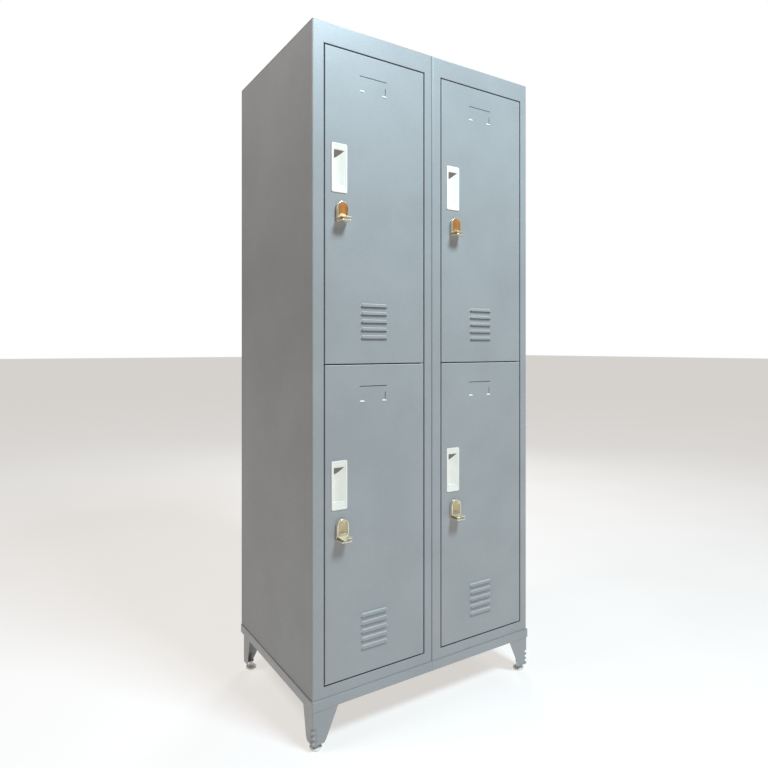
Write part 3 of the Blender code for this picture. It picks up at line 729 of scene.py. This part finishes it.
def build_door_panel(name):
    """The tray with its slots and holes cut, then the pressed louvres and card tabs."""
    low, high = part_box(name + "_door_panel")
    panel = door_tray(name)
    louvre_left = low.x + LOUVRE_FROM_LATCH_EDGE
    louvre_right = louvre_left + LOUVRE_WIDTH
    levels = [low.z + LOUVRE_RISE + i * LOUVRE_PITCH for i in range(LOUVRES)]
    card_left = low.x + CARD_FROM_LATCH_EDGE
    card_right = card_left + CARD_WIDTH
    card_top = high.z - CARD_DROP
    card_foot = card_top - CARD_HEIGHT
    slit = card_right - CARD_SLIT_INSET
    slots = [(louvre_left + LOUVRE_SLOT_INSET, louvre_right - LOUVRE_SLOT_INSET,
              z - LOUVRE_SLOT_DROP, z + LOUVRE_SLOT_SHARE * LOUVRE_HEIGHT) for z in levels]
    slots.append((card_left, card_right, card_top - CARD_SLIT, card_top))
    slots.append((slit - CARD_SLIT, slit, card_foot + CARD_SLIT_RISE, card_foot + CARD_SLIT_TOP))
    pull_low, pull_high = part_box(name + "_pull_handle")
    slots.append((pull_low.x + PULL_HOLE_INSET, pull_high.x - PULL_HOLE_INSET,
                  pull_low.z + PULL_HOLE_RISE, pull_high.z - PULL_HOLE_DROP))
    hasp_x, _, hasp_z = JOINTS[name + "_hasp_turn"]["pos_m"]
    cut(panel, [slot_cutter(slot) for slot in slots] + [round_cutter(hasp_x, hasp_z, HASP_HOLE_RADIUS)])
    pressings = Piece(name + "_door_pressings")
    for z in levels:
        add_hood(pressings, (louvre_left, louvre_right), z + LOUVRE_HEIGHT, z, LOUVRE_PROUD, LOUVRE_BROW,
                 FRONT_PAINT, PAINTED_CREST_HIGHLIGHT)
    # painted highlight: the card tabs take the near-white coat all over
    for across in ((card_left, card_left + CARD_TAB), (card_right - CARD_TAB, card_right)):
        add_hood(pressings, across, card_foot + CARD_TAB_HEIGHT, card_foot, CARD_TAB_PROUD, CARD_TAB_BROW,
                 PAINTED_TAB_HIGHLIGHT, PAINTED_TAB_HIGHLIGHT)
    join(panel, pressings.make())
    weigh_normals(panel)
    show(panel, name + "_door", "painted_front", name + "_door_panel")


def pull_rim(piece, low, high, mouth):
    """The raised rim with its soft edges, the band inside it and the edge of the mouth."""
    face, back = low.y, FRONT - FIT
    band_face = face + PULL_STEP
    rect = (low.x, high.x, low.z, high.z)
    band = (mouth[0] - PULL_BAND_MARGIN, mouth[1] + PULL_BAND_MARGIN, low.z + PULL_BAND_RISE,
            high.z - PULL_BAND_DROP)
    band_outer, band_middle, band_inner = PULL_BAND_CORNERS
    mouth_outer, mouth_inner = PULL_MOUTH_CORNERS
    # each level: rectangle, corner radius, place
    levels = [(shrink(mouth, -PULL_SKIRT), mouth_inner, back), (rect, PULL_CORNER, back)]
    levels += [(shrink(rect, inset), PULL_CORNER, face + depth) for inset, depth in fold(PULL_EDGE)]
    levels += [(shrink(band, -PULL_BEVEL), band_outer, face),
               (band, band_middle, face + 0.6 * PULL_STEP),
               (shrink(band, PULL_BEVEL / 2), band_inner, band_face),
               (shrink(mouth, -PULL_BEVEL), mouth_outer, band_face),
               (mouth, mouth_inner, band_face + PULL_MOUTH_STEP)]
    rings = [flat(round_rect(level, radius), y) for level, radius, y in levels]
    piece.loft(rings, PULL_PLASTIC, closed=True)


def pull_pocket(piece, face, mouth):
    """The scooped finger pocket: deep on the latch side, a sill at its foot, a sloping roof at its top in a
    dark coat of painted shadow.
    """
    x0, x1, z0, z1 = shrink(mouth, -POCKET_OVERLAP)
    band_face = face + PULL_STEP
    scooped = 1 - 2 * POCKET_EDGE_SHARE
    shares = [0.0] + [POCKET_EDGE_SHARE + scooped * i / POCKET_COLUMNS for i in range(POCKET_COLUMNS + 1)]
    shares.append(1.0)
    roof_foot = z1 - POCKET_ROOF
    rows = [(z0, "rim"), (z0 + SILL_EDGE, "sill"), (z0 + SILL_HEIGHT, "sill"),
            (z0 + SILL_HEIGHT + SILL_EDGE, "pocket")]
    rows += [(roof_foot + (z1 - roof_foot) * i / POCKET_ROWS, "pocket") for i in range(POCKET_ROWS)]
    rows.append((z1, "rim"))
    skin = []
    shadow_painted_points = set()
    for z, kind in rows:
        for share in shares:
            floor = FRONT + POCKET_DEPTH - POCKET_SCOOP * share ** POCKET_POWER
            roof = band_face + POCKET_LEAST_DEPTH + (z1 - z) * POCKET_ROOF_SLOPE
            if kind == "rim" or share in (0.0, 1.0):
                y = band_face + POCKET_RIM_DROP
            elif kind == "sill":
                y = min(band_face + SILL_DROP, floor)
            else:
                y = min(max(floor, band_face + POCKET_LEAST_DEPTH), roof)
                # painted shadow: points under the sloping roof are marked for the dark coat
                if roof < floor:
                    shadow_painted_points.add(len(skin))
            skin.append((x0 + share * (x1 - x0), y, z))
    back = [(x, max(y, FRONT) + POCKET_WALL, z) for x, y, z in skin]
    start = len(piece.faces)
    faces = backed_sheet(piece, skin, back, len(shares), PULL_PLASTIC)
    # painted shadow: the roof's faces take the dark coat
    painted_shadow_faces = [start + i for i, corners in enumerate(faces) if sum(c in shadow_painted_points for c in corners) >= 3]
    piece.repaint(painted_shadow_faces, PAINTED_POCKET_SHADOW)


def build_pull(name):
    """Moulded pull: a soft raised rim round a scooped finger pocket."""
    low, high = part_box(name + "_pull_handle")
    mouth = (low.x + PULL_MOUTH_INSET, high.x - PULL_MOUTH_INSET, low.z + PULL_MOUTH_RISE,
             high.z - PULL_MOUTH_DROP)
    piece = Piece(name + "_pull_skin")
    pull_rim(piece, low, high, mouth)
    pull_pocket(piece, low.y, mouth)
    show(piece.make(sharp=40), name + "_door", "white_pull", name + "_pull_handle")


def flange_outline(to_tip, to_root):
    """(x, y) from the eye's centre round a padlock flange, with its two tip corners rounded."""
    straight_x, straight_y = FLANGE_HALF_WIDTH - FLANGE_CORNER, to_tip - FLANGE_CORNER
    outline = []
    for i in range(FLANGE_POINTS):
        t = 2 * math.pi * (i + 0.5) / FLANGE_POINTS
        dx, dy = math.cos(t), math.sin(t)
        to_end = to_root if dy > 0 else to_tip
        reach = min(FLANGE_HALF_WIDTH / max(abs(dx), TINY), to_end / max(abs(dy), TINY))
        a, b = dx * reach, dy * reach
        over_a, over_b = abs(a) - straight_x, -b - straight_y
        over = math.hypot(over_a, over_b)
        if over_a > 0 and over_b > 0 and over > FLANGE_CORNER:
            a = math.copysign(straight_x + over_a * FLANGE_CORNER / over, a)
            b = -(straight_y + over_b * FLANGE_CORNER / over)
        outline.append((a, b))
    return outline


def eye_plate(piece, x, tip, root, z0, z1):
    """A padlock flange from its tip to its root, with softened edges and its eye."""
    eye_y = tip + EYE_FROM_TIP
    edge = flange_outline(eye_y - tip, root - eye_y)
    hole = circle(EYE_RADIUS, FLANGE_POINTS, math.pi / FLANGE_POINTS)
    slim, wide = 1 - EYE_BEVEL / FLANGE_HALF_WIDTH, 1 + EYE_BEVEL / EYE_RADIUS
    levels = ((edge, 1, z1 - EYE_BEVEL), (edge, slim, z1), (hole, wide, z1), (hole, 1, z1 - EYE_BEVEL),
              (hole, 1, z0 + EYE_BEVEL), (hole, wide, z0), (edge, slim, z0), (edge, 1, z0 + EYE_BEVEL))
    rings = [[(x + a * size, eye_y + b * size, z) for a, b in outline] for outline, size, z in levels]
    piece.loft(rings, HASP_METAL, closed=True)


def arch(x, z, radius, crown, foot, inset, steps=20):
    """Arch outline round (x, z): a half circle on straight sides with small round corners at the foot."""
    r = radius - inset
    turns = [math.pi * i / steps for i in range(steps + 1)]
    points = [(x + r * math.cos(t), z + crown + r * math.sin(t)) for t in turns]
    corner = max(ARCH_CORNER - inset * ARCH_CORNER_LOSS, ARCH_LEAST_CORNER)
    low = z - foot + inset
    for sign, turn in ((-1, math.pi), (1, 1.5 * math.pi)):
        for i in range(ARCH_CORNER_STEPS + 1):
            t = turn + math.pi / 2 * i / ARCH_CORNER_STEPS
            a = x + sign * (r - corner) + corner * math.cos(t)
            points.append((a, low + corner + corner * math.sin(t)))
    return points


def build_hasp_base(name):
    """Fixed plate with its padlock flange, and the sleeve behind it."""
    x, _, z = JOINTS[name + "_hasp_turn"]["pos_m"]
    low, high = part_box(name + "_hasp_base")
    face = FRONT - HASP_PLATE_PROUD
    plate = (x, z, (high.x - low.x) / 2, HASP_PLATE_CROWN, z - low.z)
    rings = [flat(arch(*plate, 0.0), FRONT - FIT)]
    rings += [flat(arch(*plate, inset), face + depth) for inset, depth in fold(HASP_PLATE_EDGE, steps=3)]
    piece = Piece(name + "_hasp_base_skin").loft(rings, HASP_METAL)
    eye_plate(piece, x, low.y, face + FLANGE_ROOT, low.z, low.z + FLANGE)
    turned(piece, ZINC, "Y", (x, FRONT, z), SLEEVE)
    show(piece.make(sharp=40), name + "_door", "chrome_hasp", name + "_hasp_base")


def build_hasp_knob(name):
    """Turning arch knob with its dish, its padlock flange and its spindle."""
    x, _, z = JOINTS[name + "_hasp_turn"]["pos_m"]
    low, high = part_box(name + "_hasp_knob")
    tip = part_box(name + "_hasp_base")[0].y
    back, front = FRONT - KNOB_BACK_PROUD, FRONT - KNOB_PROUD
    radius = (high.x - low.x) / 2
    shape = (x, z, radius, KNOB_CROWN, KNOB_FOOT)
    rings = [flat(arch(*shape, KNOB_BACK_EDGE), back), flat(arch(*shape, 0.0), back - KNOB_BACK_EDGE)]
    rings += [flat(arch(*shape, inset), front + depth) for inset, depth in fold(KNOB_EDGE, steps=4)]
    rings.append(flat(arch(*shape, KNOB_RIM), front))
    rim_rings = len(rings)
    for step in range(1, DISH_STEPS + 1):
        share = step / DISH_STEPS
        depth = DISH_DEPTH * math.sin(math.pi / 2 * share) ** DISH_POWER
        inset = KNOB_RIM + share * (radius - KNOB_RIM - DISH_FLAT_RADIUS)
        rings.append(flat(arch(*shape, inset), front + depth))
    piece = Piece(name + "_hasp_knob_skin").loft(rings, HASP_METAL)
    size = len(rings[0])
    dish_wall = range((rim_rings - 1) * size, (len(rings) - 1) * size)
    dish_floor = len(piece.faces) - 1
    # painted reflection: the dish's wall and floor take the reflection tint for the door's tier
    piece.repaint([*dish_wall, dish_floor], PAINTED_DISH_REFLECTIONS[name.split("_")[0]])
    top = z - KNOB_FOOT + FLANGE_ROOT
    eye_plate(piece, x, tip, back, top - FLANGE, top)
    bevel = SPINDLE_RADIUS - SPINDLE_END_RADIUS
    spindle = ((SPINDLE_RADIUS, back + 0.0001), (SPINDLE_RADIUS, high.y - bevel),
               (SPINDLE_END_RADIUS, high.y))
    turned(piece, ZINC, "Y", (x, 0.0, z), spindle, sides=24)
    show(piece.make(sharp=40), name + "_hasp", "chrome_hasp", name + "_hasp_knob")


# ---- base -----------------------------------------------------------------------------------------
def build_rail(name, axis, face, inward, start, end, mitres):
    """Angle rail with a rolled edge; a mitred end is cut back by its depth."""
    low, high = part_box(name)
    width = (high.y - low.y) if axis == "X" else (high.x - low.x)
    inner_fold = RAIL_FOLD - RAIL_SHEET
    under = high.z - RAIL_SHEET
    outline = [(0, low.z)] + [(inset, high.z - depth) for inset, depth in fold(RAIL_FOLD)]
    outline += [(width, high.z), (width, under), (RAIL_FOLD, under)]
    outline += [(RAIL_SHEET + inner_fold * (1 - math.sin(t)), under - inner_fold * (1 - math.cos(t)))
                for t in (math.pi / 3, math.pi / 6)]
    outline += [(RAIL_SHEET, high.z - RAIL_FOLD), (RAIL_SHEET, low.z)]
    rings = [[along(axis, face + inward * depth, z, place + cut_back * (depth + FIT)) for depth, z in outline]
             for place, cut_back in ((start, mitres[0]), (end, -mitres[1]))]
    item = Piece(name + "_skin").loft(rings, FRONT_PAINT).make(weighted=True)
    show(item, "cabinet", "painted_front", name)


def build_rails():
    """The front rail in two halves that meet at the seam, the side rails and the rear rail."""
    low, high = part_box("left_front_base_rail")
    left, front = low.x, low.y
    seam = high.x
    build_rail("left_front_base_rail", "X", front, 1, left, seam, (1, 0))
    build_rail("right_front_base_rail", "X", front, 1, -seam, -left, (0, 1))
    build_rail("left_side_base_rail", "Y", left, 1, front, BACK, (1, 1))
    build_rail("right_side_base_rail", "Y", -left, -1, front, BACK, (1, 1))
    build_rail("rear_base_rail", "X", BACK, -1, left, -left, (1, 1))


def leg_profile(front, side):
    """(x, y) inward from the corner along an angle's outer face, round its bend, with each point's normal."""
    points = [(front * share, 0.0, 0, 1) for share in LEG_SPREAD]
    points += [(x, 0.0, 0, 1) for x in LEG_NEAR_FOLD]
    for i in range(LEG_BEND_STEPS + 1):
        t = math.pi / 2 * i / LEG_BEND_STEPS
        x = LEG_BEND * (1 - math.sin(t))
        y = LEG_BEND * (1 - math.cos(t))
        points.append((x, y, math.sin(t), math.cos(t)))
    points += [(0.0, y, 1, 0) for y in LEG_NEAR_FOLD[::-1]]
    points += [(0.0, side * share, 1, 0) for share in LEG_SPREAD[::-1]]
    return points


def dart_depth(distance, height):
    """How far a pressed dart pushes the bend inward, by distance from the fold and height on the leg."""
    depth = 0.0
    for level, reach, half in DARTS:
        up = (height - level) / half
        if abs(up) < 1 and distance < reach:
            depth += DART_DEPTH * (1 - (distance / reach) ** 2) * (1 - up * up)
    return depth


def leg_corner(end, side):
    """A leg's outer corner and the signs that point out of the cabinet there."""
    low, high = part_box(f"{end}_{side}_leg")
    sx = -1 if side == "left" else 1
    sy = -1 if end == "front" else 1
    return low.x if sx < 0 else high.x, low.y if sy < 0 else high.y, sx, sy


def leg_widths(low, high, z):
    """Width of a leg's front and side at a height: a small cut at the foot, then a taper up to the rail."""
    front_top, side_top = high.x - low.x, high.y - low.y
    front_foot, side_foot = front_top * LEG_FRONT_FOOT, side_top * LEG_SIDE_FOOT
    if z < low.z + LEG_CUT_HEIGHT:
        cut_back = LEG_CUT * (1 - (z - low.z) / LEG_CUT_HEIGHT)
        return front_foot - cut_back, side_foot - cut_back
    taper_foot = low.z + LEG_CUT_HEIGHT
    share = min(1.0, (z - taper_foot) / (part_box("rear_base_rail")[0].z - taper_foot))
    return front_foot + (front_top - front_foot) * share, side_foot + (side_top - side_foot) * share


def build_leg(end, side):
    """Pressed angle leg with a rolled corner, its foot plate, and on the front legs darts across the fold."""
    name = f"{end}_{side}_leg"
    low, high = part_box(name)
    cx, cy, sx, sy = leg_corner(end, side)
    rail_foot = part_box("rear_base_rail")[0].z
    darted = low.z + DARTED_HEIGHT
    levels = [low.z + DARTED_HEIGHT * i / DARTED_ROWS for i in range(DARTED_ROWS)]
    levels += [darted + (rail_foot - darted) * i / PLAIN_ROWS for i in range(PLAIN_ROWS + 1)]
    levels.append(high.z)
    rings = []
    for z in levels:
        outer, inner = [], []
        for x, y, nx, ny in leg_profile(*leg_widths(low, high, z)):
            distance = x if ny >= nx else y
            push = dart_depth(distance, z - low.z) if end == "front" else 0.0
            px, py = x + push, y + push
            outer.append((cx - sx * px, cy - sy * py, z))
            inner.append((cx - sx * (px + LEG_SHEET * nx), cy - sy * (py + LEG_SHEET * ny), z))
        rings.append(outer + inner[::-1])
    piece = Piece(name + "_skin").loft(rings, FRONT_PAINT)
    centre_x, centre_y = glide_centre(end, side)
    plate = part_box(f"{end}_{side}_glide")[1].z - STUD_ABOVE_PLATE
    u, v = abs(centre_x - cx), abs(centre_y - cy)
    turns = [math.pi / 2 * i / PLATE_STEPS for i in range(PLATE_STEPS + 1)]
    outline = [(PLATE_CUT, LEG_SHEET), (u + PLATE_HUB, LEG_SHEET)]
    outline += [(u + PLATE_HUB * math.cos(t), v + PLATE_HUB * math.sin(t)) for t in turns]
    outline += [(LEG_SHEET, v + PLATE_HUB), (LEG_SHEET, PLATE_CUT)]
    rings = [[(cx - sx * a, cy - sy * b, z) for a, b in outline] for z in (plate, plate + PLATE_THICKNESS)]
    piece.loft(rings, FRONT_PAINT)
    show(piece.make(sharp=40), "cabinet", "painted_front", name)


def glide_centre(end, side):
    """(x, y) of a glide's axis."""
    low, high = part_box(f"{end}_{side}_glide")
    return (low.x + high.x) / 2, (low.y + high.y) / 2


def add_stud(piece, x, y, start, top):
    """A threaded stud, with the thread's crest running round it as a screw line."""
    count = int((top - start) / (THREAD_PITCH / THREAD_ROWS_PER_TURN))
    rings = []
    for i in range(count + 1):
        z = start + (top - start) * i / count
        level = []
        for j, (a, b) in enumerate(circle(1.0, THREAD_SIDES)):
            phase = (z / THREAD_PITCH - j / THREAD_SIDES) % 1.0
            radius = THREAD_RADIUS - THREAD_DEPTH * abs(2 * phase - 1)
            level.append((x + a * radius, y + b * radius, z))
        rings.append(level)
    piece.loft(rings, ZINC)


def build_glide(end, side):
    """White foot with a soft edge and a shoulder, a hexagonal collar and a threaded stud."""
    name = f"{end}_{side}_glide"
    low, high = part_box(name)
    x, y = glide_centre(end, side)
    r = (high.x - low.x) / 2
    plate = high.z - STUD_ABOVE_PLATE
    piece = Piece(name + "_skin")
    foot = [(r - 0.0012, 0.0), (r - 0.0003, 0.0004), (r, 0.0014), (r, 0.0042), (r - 0.0004, 0.0052),
            (r - 0.0014, 0.0060), (r - 0.0032, 0.0068), (r * 0.62, 0.0076), (r * 0.58, 0.0082),
            (r * 0.55, 0.0098), (r * 0.44, 0.0104)]
    turned(piece, NYLON, "Z", (x, y, 0.0), foot)
    nut = [(NUT_BEVEL_RADIUS, 0.0105), (NUT_RADIUS, 0.0110), (NUT_RADIUS, plate - 0.0009),
           (NUT_BEVEL_RADIUS, plate - FIT)]
    turned(piece, NYLON, "Z", (x, y, 0.0), nut, sides=6)
    add_stud(piece, x, y, plate - STUD_BELOW_PLATE, high.z)
    show(piece.make(sharp=40), name, "glide_nylon", name)


# ---- CAD nodes that stay --------------------------------------------------------------------------
def dress_nodes():
    """Zinc on the rods, pins, brackets and cams that stay as the CAD has them; on the rest an inner coat,
    darker than the front's as painted shade.
    """
    zinc_words = ("coat_rod", "hinge_pin", "pivot_bracket", "lock_cam")
    for name, node in NODES.items():
        if node.hide_render:
            continue
        # painted shade: the darker inner coat on everything but the zinc parts
        finish = ZINC if any(word in name for word in zinc_words) else INNER_COAT_WITH_PAINTED_SHADE
        node.data.materials.clear()
        node.data.materials.append(finish)
        if "coat_rod" in name or "hinge_pin" in name:
            node.data.shade_smooth()
            node.data.set_sharp_from_angle(angle=math.radians(35))


# ---- stage, light and camera ----------------------------------------------------------------------
def build_stage():
    """Pale floor with a glow of its own, so that it nearly meets the white surround."""
    finish = Finish("pale_floor", roughness=0.75, Specular_IOR_Level=0.2, Emission_Color=FLOOR_GLOW,
                    Emission_Strength=FLOOR_GLOW_STRENGTH)
    finish.colour(finish.blend(finish.noise(scale=1.5), *FLOOR_COLOURS))
    corners = ring("Z", (-FLOOR_HALF, FLOOR_HALF, -FLOOR_HALF, FLOOR_HALF), 0)
    mesh = bpy.data.meshes.new("floor")
    mesh.from_pydata(corners, [], [(0, 1, 2, 3)])
    mesh.materials.append(finish.material)
    item = bpy.data.objects.new("floor", mesh)
    bpy.context.scene.collection.objects.link(item)


def add_light(name, place, target, size, power, colour):
    """A rectangular area light aimed at a target; size in metres, power in watts."""
    data = bpy.data.lights.new(name, "AREA")
    data.shape = "RECTANGLE"
    data.size, data.size_y = size
    data.energy = power
    data.color = colour
    item = bpy.data.objects.new(name, data)
    item.location = place
    item.rotation_euler = (Vector(target) - Vector(place)).to_track_quat("-Z", "Y").to_euler()
    bpy.context.scene.collection.objects.link(item)


def build_world():
    """White to the camera, a soft pale surround to everything else."""
    world = bpy.data.worlds.new("studio")
    bpy.context.scene.world = world
    world.use_nodes = True
    tree = world.node_tree
    tree.nodes.clear()
    seen = tree.nodes.new("ShaderNodeBackground")
    seen.inputs["Color"].default_value = (1, 1, 1, 1)
    seen.inputs["Strength"].default_value = 1.0
    surround = tree.nodes.new("ShaderNodeBackground")
    surround.inputs["Color"].default_value = SURROUND_COLOUR
    surround.inputs["Strength"].default_value = SURROUND_STRENGTH
    path = tree.nodes.new("ShaderNodeLightPath")
    mix = tree.nodes.new("ShaderNodeMixShader")
    out = tree.nodes.new("ShaderNodeOutputWorld")
    tree.links.new(path.outputs["Is Camera Ray"], mix.inputs["Fac"])
    tree.links.new(surround.outputs["Background"], mix.inputs[1])
    tree.links.new(seen.outputs["Background"], mix.inputs[2])
    tree.links.new(mix.outputs["Shader"], out.inputs["Surface"])


def build_camera():
    """The photograph's viewing angle: level, turned to the right, framed by a small lens shift."""
    data = bpy.data.cameras.new("camera")
    data.sensor_width = CAMERA_SENSOR
    data.lens = CAMERA_LENS
    data.shift_x, data.shift_y = CAMERA_SHIFT
    camera = bpy.data.objects.new("camera", data)
    camera.location = (CAMERA_X, FRONT - CAMERA_FROM_FRONT, CAMERA_Z)
    camera.rotation_euler = Euler((math.pi / 2, 0.0, -math.radians(CAMERA_YAW)))
    bpy.context.scene.collection.objects.link(camera)
    bpy.context.scene.camera = camera


def main():
    """Carcass, doors with their fittings, base and glides, then the studio round them."""
    for side in SIDES:
        build_front_frame(side)
    build_walls()
    for tier in TIERS:
        for side in SIDES:
            name = f"{tier}_{side}"
            build_door_panel(name)
            build_pull(name)
            build_hasp_base(name)
            build_hasp_knob(name)
    build_rails()
    for end in ENDS:
        for side in SIDES:
            build_leg(end, side)
            build_glide(end, side)
    dress_nodes()
    build_stage()
    build_world()
    for light in LIGHTS:
        add_light(*light)
    build_camera()
    bpy.context.scene.view_settings.view_transform = "Standard"


main()
